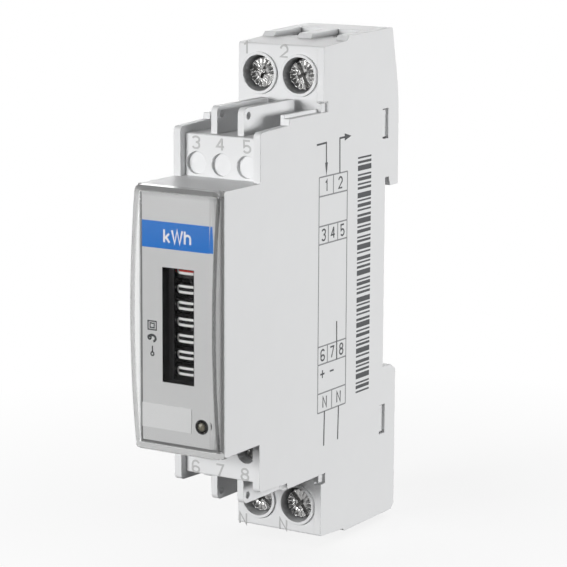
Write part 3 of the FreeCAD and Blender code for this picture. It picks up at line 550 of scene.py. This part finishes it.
def piece(name, flats, place, low, high, material, body):
    """One raised piece from flats: faces at height high, and walls down to low."""
    made = bmesh.new()
    for index, (points, faces) in enumerate(flats):
        top = [made.verts.new(place(u, v, high + index % 4 * LAYER)) for u, v in points]
        foot = [made.verts.new(place(u, v, low)) for u, v in points]
        edges = {}
        for face in faces:
            made.faces.new([top[i] for i in face])
            for a, b in zip(face, face[1:] + face[:1]):
                edges[(a, b)] = (b, a) not in edges and edges.get((a, b), True)
                if (b, a) in edges:
                    edges[(b, a)] = edges[(a, b)] = False
        for (a, b), rim in edges.items():
            if rim:
                made.faces.new((top[b], top[a], foot[a], foot[b]))
    bmesh.ops.remove_doubles(made, verts=made.verts, dist=1e-8)
    bmesh.ops.recalc_face_normals(made, faces=made.faces)
    mesh = bpy.data.meshes.new(name)
    made.to_mesh(mesh)
    made.free()
    return dress(bpy.data.objects.new(name, mesh), material, body)


def dress(made, material, body):
    """Puts a finished piece in the scene, on its body."""
    bpy.context.scene.collection.objects.link(made)
    made.data.materials.clear()
    made.data.materials.append(material)
    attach(made, body)
    return made


# Signs, drawn as lines in a box of width w and height h

WIDE = {"W": 1.9, "1": 0.5}         # widths beside the other signs' 1


def letter_lines(letter, w, h):
    if letter == "1":
        return [([(0, h * 0.78), (w, h), (w, 0)], False)]
    if letter == "N":
        return [([(0, 0), (0, h), (w, 0), (w, h)], False)]
    if letter == "k":
        return [([(0, 0), (0, h)], False), ([(w * 0.92, h * 0.7), (0, h * 0.25)], False),
                ([(w * 0.32, h * 0.42), (w, 0)], False)]
    if letter == "W":
        return [([(0, h), (w * 0.26, 0), (w * 0.5, h), (w * 0.74, 0), (w, h)], False)]
    if letter == "h":
        arch = arc((w / 2, h * 0.7 - w / 2), w / 2, 180, 0)
        return [([(0, 0), (0, h)], False), (arch + [(w, 0)], False)]
    return figure_lines(int(letter), w, h)


def lettering(text, box, width):
    """Signs side by side that fill a box, drawn with lines of one width."""
    (u0, v0), (u1, v1) = box
    h = v1 - v0 - width
    gap = width * 1.35
    shares = [WIDE.get(sign, 1) for sign in text]
    unit = (u1 - u0 - width - gap * (len(text) - 1)) / sum(shares)
    flats, left = [], u0 + width / 2
    for sign, share in zip(text, shares):
        for points, closed in letter_lines(sign, unit * share, h):
            flats.append(stroke([(left + u, v0 + width / 2 + v) for u, v in points], width, closed))
        left += unit * share + gap
    return flats


def figure_lines(digit, w, h):
    r = w / 2
    if digit == 0:
        return [(arc((r, h - r), r, 0, 180) + arc((r, r), r, 180, 360), True)]
    if digit == 1:
        return [([(r * 0.35, h - w * 0.55), (r * 1.15, h), (r * 1.15, 0)], False)]
    if digit == 2:
        return [(arc((r, h - r), r, 170, -25) + [(0, 0), (w, 0)], False)]
    if digit == 3:
        return [(arc((r, h * 0.76), (r, h * 0.24), 155, -90), False),
                (arc((r, h * 0.27), (r, h * 0.27), 90, -155), False)]
    if digit == 4:
        return [([(w, h * 0.3), (0, h * 0.3), (w * 0.7, h)], False), ([(w * 0.7, h), (w * 0.7, 0)], False)]
    if digit == 5:
        bowl = arc((r, h * 0.29), (r, h * 0.29), 140, -150)
        return [([(w * 0.92, h), (w * 0.08, h)] + bowl, False)]
    if digit == 6:
        return [(arc((r, h - r), r, 25, 180) + [(0, h * 0.25)], False),
                (arc((r, h * 0.25), (r, h * 0.25), 180, 540)[:-1], True)]
    if digit == 7:
        return [([(0, h), (w, h), (w * 0.35, 0)], False)]
    if digit == 8:
        return [(arc((r, h * 0.76), (r * 0.88, h * 0.24), 0, 360)[:-1], True),
                (arc((r, h * 0.26), (r, h * 0.26), 0, 360)[:-1], True)]
    return [([(w - x, h - y) for x, y in line], closed) for line, closed in figure_lines(6, w, h)]


# Operators

class METER_OT_shell(bpy.types.Operator):
    """Gives the shell, side cover and rail clip their moulded finish, and raises the terminal numerals in a
    darker grey, painted shade for the edges of numerals that are moulded in the shell's own grey
    """
    bl_idname = "meter.shell"
    bl_label = "Shell and numerals"

    def execute(self, context):
        shell, ink = context.scene.meter_shell, context.scene.meter_print
        coat(["housing_shell"], moulded_plastic("moulded_shell", shell.colour, shell))
        coat(["side_cover"], moulded_plastic("moulded_side", tuple(shell.colour), shell, 0.9))
        coat(["rail_clip"], moulded_plastic("moulded_clip", shell.clip_colour, shell, 1.2))
        # Painted shade: the numerals' darker grey stands for the shade on their moulded edges.
        pale = printed("numeral_painted_shade", ink.numeral_painted_shade)
        width, high = 1.75, 2.35
        ledges = [("3", (-5.19, 28.3)), ("4", (-0.2, 28.3)), ("5", (5.12, 28.3)),
                  ("6", (-5.31, -28.6)), ("7", (-0.3, -28.6)), ("8", (4.86, -28.6))]
        blocks = [("1", (-7.32, 42.84)), ("2", (0.65, 42.66)), ("N", (-7.66, -42.96)), ("N", (0.93, -42.73))]
        for name, depth, marks in (("small", -40.8, ledges), ("main", -21.9, blocks)):
            flats = []
            for text, at in marks:
                flats += lettering(text, around(at, (width * WIDE.get(text, 1), high)), ink.numeral_line / MM)
            piece(name + "_terminal_numerals", flats, front(depth), -0.00002, ink.rise * 3, pale, "case")
        return {"FINISHED"}


class METER_OT_window(bpy.types.Operator):
    """Makes the bowed front cover clear and lays a grey sheet behind each of its rims as painted shade"""
    bl_idname = "meter.window"
    bl_label = "Clear cover"

    def execute(self, context):
        look = context.scene.meter_window
        coat(["front_cover"], clear_plastic("clear_cover", look))
        low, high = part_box("front_cover")
        x0, z0, x1, z1 = low.x / MM, low.z / MM, high.x / MM, high.z / MM
        rim = 0.93
        foot = front(high.y / MM)
        # Painted shade: grey sheets just behind the cover's four rims, one grey per side.
        sides = {"left": (box_field(x0 + 0.02, z0 + rim, x0 + rim, z1 - rim), look.left_rim_shade),
                 "right": (box_field(x1 - rim, z0 + rim, x1 - 0.02, z1 - rim), look.right_rim_shade),
                 "top": (box_field(x0 + 0.02, z1 - rim, x1 - 0.02, z1 - 0.02), look.top_rim_shade),
                 "foot": (box_field(x0 + 0.02, z0 + 0.02, x1 - 0.02, z0 + rim), look.foot_rim_shade)}
        for name, (side, colour) in sides.items():
            piece("rim_seat_" + name, [side], foot, 0.00002, 0.00004,
                  label_stock("rim_" + name, (colour,) * 3), "case")
        return {"FINISHED"}


class METER_OT_label(bpy.types.Operator):
    """Prints the front label: unit band, generic signs, blank sticker and the pulse lamp with its ring"""
    bl_idname = "meter.label"
    bl_label = "Front label"

    def execute(self, context):
        ink = context.scene.meter_print
        coat(["label_plate"], label_stock("label_sheet", ink.label))
        coat(["blank_sticker"], label_stock("sticker_paper", ink.paper, 0.6))
        coat(["lamp_lens"], lamp_resin("lamp_resin"))
        place = front(nodes_front("label_plate"))
        rise = ink.rise
        blue = printed("band_ink", ink.band, 0.45, 0.03)
        piece("unit_band", [box_field(-7.27, 12.05, 6.32, 16.6)], place, INK_FOOT, rise, blue, "case")
        white = printed("white_ink", (0.86, 0.87, 0.88), 0.45, 0.03)
        unit = lettering("kWh", ((-2.95, 12.98), (2.65, 15.5)), 0.37)
        piece("unit_letters", unit, place, rise * 0.5, rise * 2.2, white, "case")
        line = ink.line / MM
        square = [(-6.12, -1.95), (-4.45, -1.95), (-4.45, -0.48), (-6.12, -0.48)]
        inner = [(-5.7, -1.6), (-4.87, -1.6), (-4.87, -0.84), (-5.7, -0.84)]
        hook = arc((-5.3, -3.42), (0.72, 0.55), -70, 170)
        curl = arc((-5.82, -3.28), (0.3, 0.34), 120, 400)
        signs = [stroke(square, line * 0.9, True), stroke(inner, line * 0.9, True), stroke(hook, line * 1.7),
                 stroke(curl, line * 1.2), stroke(arc((-5.25, -6.08), 0.3, 90, 450)[:-1], line, True),
                 stroke([(-5.25, -5.76), (-5.25, -4.72)], line)]
        # Painted shade: dark strips along the label's left and bottom edges stand for the dark lines that the
        # cover's thick rim shows there.
        edges = [box_field(-7.58, -21.2, -7.27, 21.3), box_field(-7.58, -21.48, 7.5, -21.02)]
        piece("label_edge_shade_lines", edges, place, INK_FOOT, 0.00003, printed("edge_shade", (0.17, 0.17, 0.17)),
              "case")
        # Painted shade: two grey strips at the label's right edge, darker towards the cover's right rim.
        for name, near, far, share in (("inner", 6.32, 6.85, 0.84), ("outer", 6.85, 7.58, 0.62)):
            shade = printed(name + "_border", tone(ink.label, share))
            piece("label_border_" + name, [box_field(near, -21.0, far, 21.3)], place, 0.00004, 0.00012, shade,
                  "case")
        dark = printed("label_ink", tone(ink.ink, 0.5))
        piece("label_signs", signs, place, INK_FOOT, rise, dark, "case")
        low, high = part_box("lamp_lens")
        middle = ((low.x + high.x) / 2 / MM, (low.z + high.z) / 2 / MM)
        ring = stroke(arc(middle, 1.17, 0, 360)[:-1], 0.18, True)
        bezel = satin_plastic("lamp_bezel", (0.02, 0.02, 0.02), 0.5, gleam=0.2)
        piece("lamp_ring", [ring], place, -0.00005, 0.00012, bezel, "case")
        return {"FINISHED"}


class METER_OT_counter(bpy.types.Operator):
    """Finishes the drum counter, its gears, shafts and motor, and puts the figures on the drums"""
    bl_idname = "meter.counter"
    bl_label = "Drum counter"

    def execute(self, context):
        look, metal = context.scene.meter_counter, context.scene.meter_metal
        drums = sorted(name for name in nodes if name.startswith("digit_drum_"))
        coat(drums[1:], satin_plastic("drum_black", look.drum, 0.6, gleam=0.08))
        coat(drums[:1], half_red("drum_red", look))
        black = satin_plastic("frame_black", look.drum, 0.65, gleam=0.08)
        coat(["counter_frame"], black)
        self.line_window(black)
        gears = [name for name in nodes if name.startswith("carry_pinion_")] + ["motor_gear"]
        coat(gears, satin_plastic("acetal_white", (0.80, 0.80, 0.77), 0.35, 0.04))
        coat(["drum_shaft", "pinion_shaft"], plated_metal("ground_steel", metal.steel, 0.2, True))
        coat(["motor_case"], plated_metal("motor_steel", metal.steel, 0.34))
        coat(["motor_coil"], wound_wire("enamelled_wire", (0.62, 0.22, 0.075)))
        white = printed("figure_ink", look.figure, 0.5, 0.04)
        w, h, line = look.figure_width / MM, look.figure_height / MM, look.stroke / MM
        for drum in drums:
            low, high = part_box(drum)
            radius = (high.x - low.x) / 2 / MM
            middle = (low.z + high.z) / 2 / MM
            axis = (low.y + high.y) / 2 / MM
            flats = []
            for digit in range(10):
                start = radius * FIGURE_STEP * digit + 0.22
                for points, closed in figure_lines(digit, w - line, h - line):
                    moved = [(u - (w - line) / 2, v - (h - line) / 2 + start)
                             for u, v in dense(points, 0.3, closed)]
                    flats.append(stroke(moved, line, closed))
            rise = look.tenths_shift / MM if drum == drums[0] else -0.05
            piece(drum + "_figures", flats, drum_face(radius, axis, middle + rise), -0.00002, 0.000015, white,
                  drum)
        return {"FINISHED"}

    def line_window(self, black):
        """Black walls of the opening, from the label's face back to the counter's frame."""
        front_depth, rear = nodes_front("label_plate") - 0.005, nodes_front("counter_frame") + 0.02
        walls = stroke(box_field(*COUNTER_WINDOW)[0], 0.1, True)
        piece("window_lining", [walls], front(front_depth), -(rear - front_depth) * MM, 0.0, black, "case")


def serrated_crown(screw, turn, plating):
    """The radial serrations and the rim on a clamp screw's head, open along its slot."""
    low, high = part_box(screw)
    radius = (high.x - low.x) / 2
    middle = Vector(((low.x + high.x) / 2, low.y, (low.z + high.z) / 2))
    along = Vector((math.cos(turn), 0, -math.sin(turn)))
    across = Vector((math.sin(turn), 0, math.cos(turn)))
    whole = bmesh.new()
    loops = []
    for share, ridge, valley in CROWN_RINGS:
        loop = []
        for i in range(CROWN_POINTS):
            a = 2 * math.pi * i / CROWN_POINTS
            out = along * math.cos(a) * radius * share + across * math.sin(a) * radius * share
            loop.append(whole.verts.new(middle + out - Vector((0, valley if i % 2 else ridge, 0))))
        loops.append(loop)
    for inner, outer in zip(loops, loops[1:]):
        for i in range(CROWN_POINTS):
            n = (i + 1) % CROWN_POINTS
            whole.faces.new((inner[i], outer[i], outer[n], inner[n]))
    crown = bmesh.new()
    for side in (1, -1):
        half = whole.copy()
        bmesh.ops.bisect_plane(half, geom=half.verts[:] + half.edges[:] + half.faces[:], clear_inner=True,
                               plane_co=middle + across * side * CROWN_GAP, plane_no=across * side)
        mesh = bpy.data.meshes.new("half")
        half.to_mesh(mesh)
        half.free()
        crown.from_mesh(mesh)
        bpy.data.meshes.remove(mesh)
    whole.free()
    bmesh.ops.recalc_face_normals(crown, faces=crown.faces)
    mesh = bpy.data.meshes.new(screw + "_crown")
    crown.to_mesh(mesh)
    crown.free()
    dress(bpy.data.objects.new(screw + "_crown", mesh), plating, screw)


class METER_OT_terminals(bpy.types.Operator):
    """Plates the screws and cages and finishes the straps and contacts"""
    bl_idname = "meter.terminals"
    bl_label = "Terminals"

    def execute(self, context):
        metal = context.scene.meter_metal
        screws = [name for name in nodes if "screw" in name]
        cages = [name for name in nodes if "cage" in name]
        plating = plated_metal("plated_screw", metal.nickel, 0.2, True)
        coat(screws, plating)
        for name, turn in SCREW_TURNS.items():
            serrated_crown("screw_" + name, math.radians(turn), plating)
        coat(cages, plated_metal("plated_cage", tone(metal.nickel, 1.5), 0.33))
        coat(["line_shunt", "neutral_link", "pulse_contacts"], plated_metal("rolled_brass", metal.brass, 0.3))
        return {"FINISHED"}


class METER_OT_side_prints(bpy.types.Operator):
    """Prints the wiring diagram and the field of bars on the right side"""
    bl_idname = "meter.side_prints"
    bl_label = "Side printing"

    def execute(self, context):
        ink = context.scene.meter_print
        place = flank(nodes_right("side_cover"))
        line = ink.line / MM
        fine, dark = printed("fine_line_ink", ink.fine_ink), printed("diagram_ink", ink.ink)
        left, right = -23.17, -13.52
        rows = [(17.8, 21.2, "12"), (9.3, 12.5, "345"), (-12.25, -9.0, "678"), (-20.95, -17.5, "NN")]
        lines, marks = [[(left, 21.2), (left, -20.95)], [(right, 21.2), (right, -20.95)]], []
        for low, high, text in rows:
            cell = (right - left) / len(text)
            lines += [[(left, low), (right, low)], [(left, high), (right, high)]]
            lines += [[(left + cell * i, low), (left + cell * i, high)] for i in range(1, len(text))]
            for i, mark in enumerate(text):
                at = (left + cell * (i + 0.5), (low + high) / 2)
                marks += lettering(mark, around(at, (1.5 * WIDE.get(mark, 1), 2.25)), 0.31)
        leads = [[(-16.83, -5.3), (-16.7, -12.3)], [(-20.8, -20.95), (-20.98, -27.24)],
                 [(-15.93, -20.95), (-16.13, -27.09)], [(-24.1, 27.0), (-20.87, 27.09), (-20.8, 22.4)],
                 [(-16.17, 21.2), (-16.27, 27.38), (-14.2, 27.4)]]
        marks += [stroke(points, line * 1.35) for points in leads]
        marks += [field([(-21.25, 23.6), (-20.79, 21.25), (-20.33, 23.6)]),
                  field([(-14.6, 26.75), (-12.3, 27.4), (-14.6, 28.05)])]
        marks += [stroke([(-22.3, -14.05), (-20.9, -14.05)], 0.32),
                  stroke([(-21.6, -14.75), (-21.6, -13.35)], 0.32),
                  stroke([(-19.05, -14.0), (-17.75, -14.0)], 0.32)]
        rise = ink.rise
        piece("diagram_lines", [stroke(points, line) for points in lines], place, INK_FOOT, rise, fine,
              "case")
        piece("diagram_marks", marks, place, INK_FOOT, rise * 1.2, dark, "case")
        bars, z, step = [], -19.9, 0
        while z < 23.3:
            thick = (0.32, 0.62, 0.32, 0.95, 0.45)[step % 5]
            bars.append(box_field(-9.85, z, -5.1, min(z + thick, 23.55)))
            z += thick + (0.42, 0.3, 0.6, 0.36)[step % 4]
            step += 1
        piece("bar_field", bars, place, INK_FOOT, rise, dark, "case")
        return {"FINISHED"}


class METER_OT_inner_pieces(bpy.types.Operator):
    """Finishes the spring, the circuit board and what stands on it"""
    bl_idname = "meter.inner_pieces"
    bl_label = "Inner pieces"

    def execute(self, context):
        coat(["clip_spring"], plated_metal("spring_steel", context.scene.meter_metal.steel, 0.3))
        coat(["circuit_board"], solder_resist("green_resist", (0.02, 0.19, 0.07)))
        coat(["main_capacitor", "small_capacitor"], sleeved_can("capacitor_sleeve", (0.025, 0.03, 0.075)))
        coat(["metering_chip", "pulse_coupler"], satin_plastic("epoxy_black", (0.02, 0.02, 0.021), 0.55))
        return {"FINISHED"}


class METER_OT_studio(bpy.types.Operator):
    """Sets up the camera, the soft lights, the white surroundings and the pale floor"""
    bl_idname = "meter.studio"
    bl_label = "Studio"

    def execute(self, context):
        scene, look = context.scene, context.scene.meter_studio
        scene.view_settings.view_transform = "Standard"
        place_camera(scene, look)
        soft_box("key_light", -15, 11, (0.40, 0.34), look.key)
        soft_box("side_light", 108, 6, (0.9, 0.26), look.side)
        soft_box("top_light", 178, 30, (0.5, 0.3), look.top)
        soft_box("back_light", 225, 14, (0.6, 0.4), look.back)
        surroundings(scene, look.ambient)
        floor()
        return {"FINISHED"}


def place_camera(scene, look):
    a, e, r = look.azimuth, look.elevation, look.roll
    back = Vector((math.sin(a) * math.cos(e), -math.cos(a) * math.cos(e), math.sin(e)))
    right = (-back).cross(Vector((0, 0, 1))).normalized()
    up = right.cross(-back)
    right, up = right * math.cos(r) + up * math.sin(r), up * math.cos(r) - right * math.sin(r)
    camera = bpy.data.objects.new("camera", bpy.data.cameras.new("camera"))
    camera.matrix_world = Matrix((right, up, back)).transposed().to_4x4()
    camera.location = look.eye
    camera.data.lens = look.lens
    camera.data.sensor_width = 36
    camera.data.clip_start = 0.01
    camera.data.dof.use_dof = False
    scene.collection.objects.link(camera)
    scene.camera = camera


def soft_box(name, azimuth, elevation, size, power):
    """A soft lamp one metre from the middle of the meter; azimuth 0 is ahead of it and 90 is right of it."""
    light = bpy.data.lights.new(name, "AREA")
    light.shape = "RECTANGLE"
    light.size, light.size_y = size
    light.energy = power
    a, e = math.radians(azimuth), math.radians(elevation)
    away = Vector((math.sin(a) * math.cos(e), -math.cos(a) * math.cos(e), math.sin(e)))
    made = bpy.data.objects.new(name, light)
    made.location = (case_box[0] + case_box[1]) / 2 + away
    made.rotation_euler = (-away).to_track_quat("-Z", "Y").to_euler()
    bpy.context.scene.collection.objects.link(made)


def seen(f):
    """1 for what the eye, a reflection or clear plastic shows, and 0 for light that falls on the meter."""
    paths = ("Is Camera Ray", "Is Glossy Ray", "Is Transmission Ray", "Diffuse Depth")
    eye, gloss, clear, scattered = [f.node("LightPath", output=path) for path in paths]
    return (eye + gloss + clear).clamped() * (scattered < 0.5)


def surroundings(scene, ambient):
    """A world that is white to the eye, in reflections and through clear plastic, and grey as a light."""
    world = bpy.data.worlds.new("surroundings")
    world.use_nodes = True
    scene.world = world
    f = Finish(tree=world.node_tree)
    strength = seen(f) * (1.0 - ambient) + ambient
    back = f.node("Background", None, {"Color": (1, 1, 1), "Strength": strength})
    output = f.tree.nodes.new("ShaderNodeOutputWorld")
    f.tree.links.new(back.socket, output.inputs["Surface"])


def floor():
    """A pale round floor that fades into the white surroundings."""
    made = bmesh.new()
    rings = [0.02 * 1.35 ** i for i in range(16)]
    level = case_box[0].z - 0.0002
    last = None
    centre = made.verts.new((0, 0, level))
    for radius in rings:
        ring = [made.verts.new((radius * math.cos(t * math.pi / 32), radius * math.sin(t * math.pi / 32),
                                level))
                for t in range(64)]
        for i in range(64):
            n = (i + 1) % 64
            made.faces.new((centre, ring[i], ring[n]) if last is None
                           else (last[i], ring[i], ring[n], last[n]))
        last = ring
    mesh = bpy.data.meshes.new("floor")
    made.to_mesh(mesh)
    made.free()
    plate = bpy.data.objects.new("floor", mesh)
    bpy.context.scene.collection.objects.link(plate)
    f = Finish("pale_floor")
    x, y, z = f.parts(f.place)
    square = x * x + y * y
    spread = square.maths("POWER", square, 0.5)
    far = ((spread - 0.03) * 11).clamped()
    cloud = f.noise(9, 2, 0.5)
    pale = f.blend(cloud, (0.86, 0.86, 0.86), (0.9, 0.9, 0.9))
    shown = seen(f)
    board = f.node("BsdfDiffuse", None, {"Color": f.blend(shown, (0.2, 0.2, 0.2), pale)})
    white = f.node("Emission", None, {"Color": (1, 1, 1), "Strength": 1.0})
    factor = shown * (far * 0.16 + 0.84)
    plate.data.materials.append(f.done(f.node("MixShader", None, {0: factor, 1: board, 2: white})))


class METER_PT_panel(bpy.types.Panel):
    bl_idname = "METER_PT_panel"
    bl_label = "Rail energy meter"
    bl_space_type = "VIEW_3D"
    bl_region_type = "UI"
    bl_category = "Rail meter"

    def draw(self, context):
        for operator in OPERATORS:
            self.layout.operator(operator.bl_idname)


GROUPS = {"meter_shell": ShellSettings, "meter_window": WindowSettings, "meter_print": PrintSettings,
          "meter_counter": CounterSettings, "meter_metal": MetalSettings, "meter_studio": StudioSettings}
OPERATORS = (METER_OT_shell, METER_OT_window, METER_OT_label, METER_OT_counter, METER_OT_terminals,
             METER_OT_side_prints, METER_OT_inner_pieces, METER_OT_studio)
CLASSES = (*GROUPS.values(), *OPERATORS, METER_PT_panel)


def register():
    for made in CLASSES:
        bpy.utils.register_class(made)
    for name, group in GROUPS.items():
        setattr(bpy.types.Scene, name, PointerProperty(type=group))


def unregister():
    for name in GROUPS:
        delattr(bpy.types.Scene, name)
    for made in reversed(CLASSES):
        bpy.utils.unregister_class(made)


def main():
    register()
    bpy.ops.meter.shell()
    bpy.ops.meter.window()
    bpy.ops.meter.label()
    bpy.ops.meter.counter()
    bpy.ops.meter.terminals()
    bpy.ops.meter.side_prints()
    bpy.ops.meter.inner_pieces()
    bpy.ops.meter.studio()


if __name__ == "__main__":
    main()
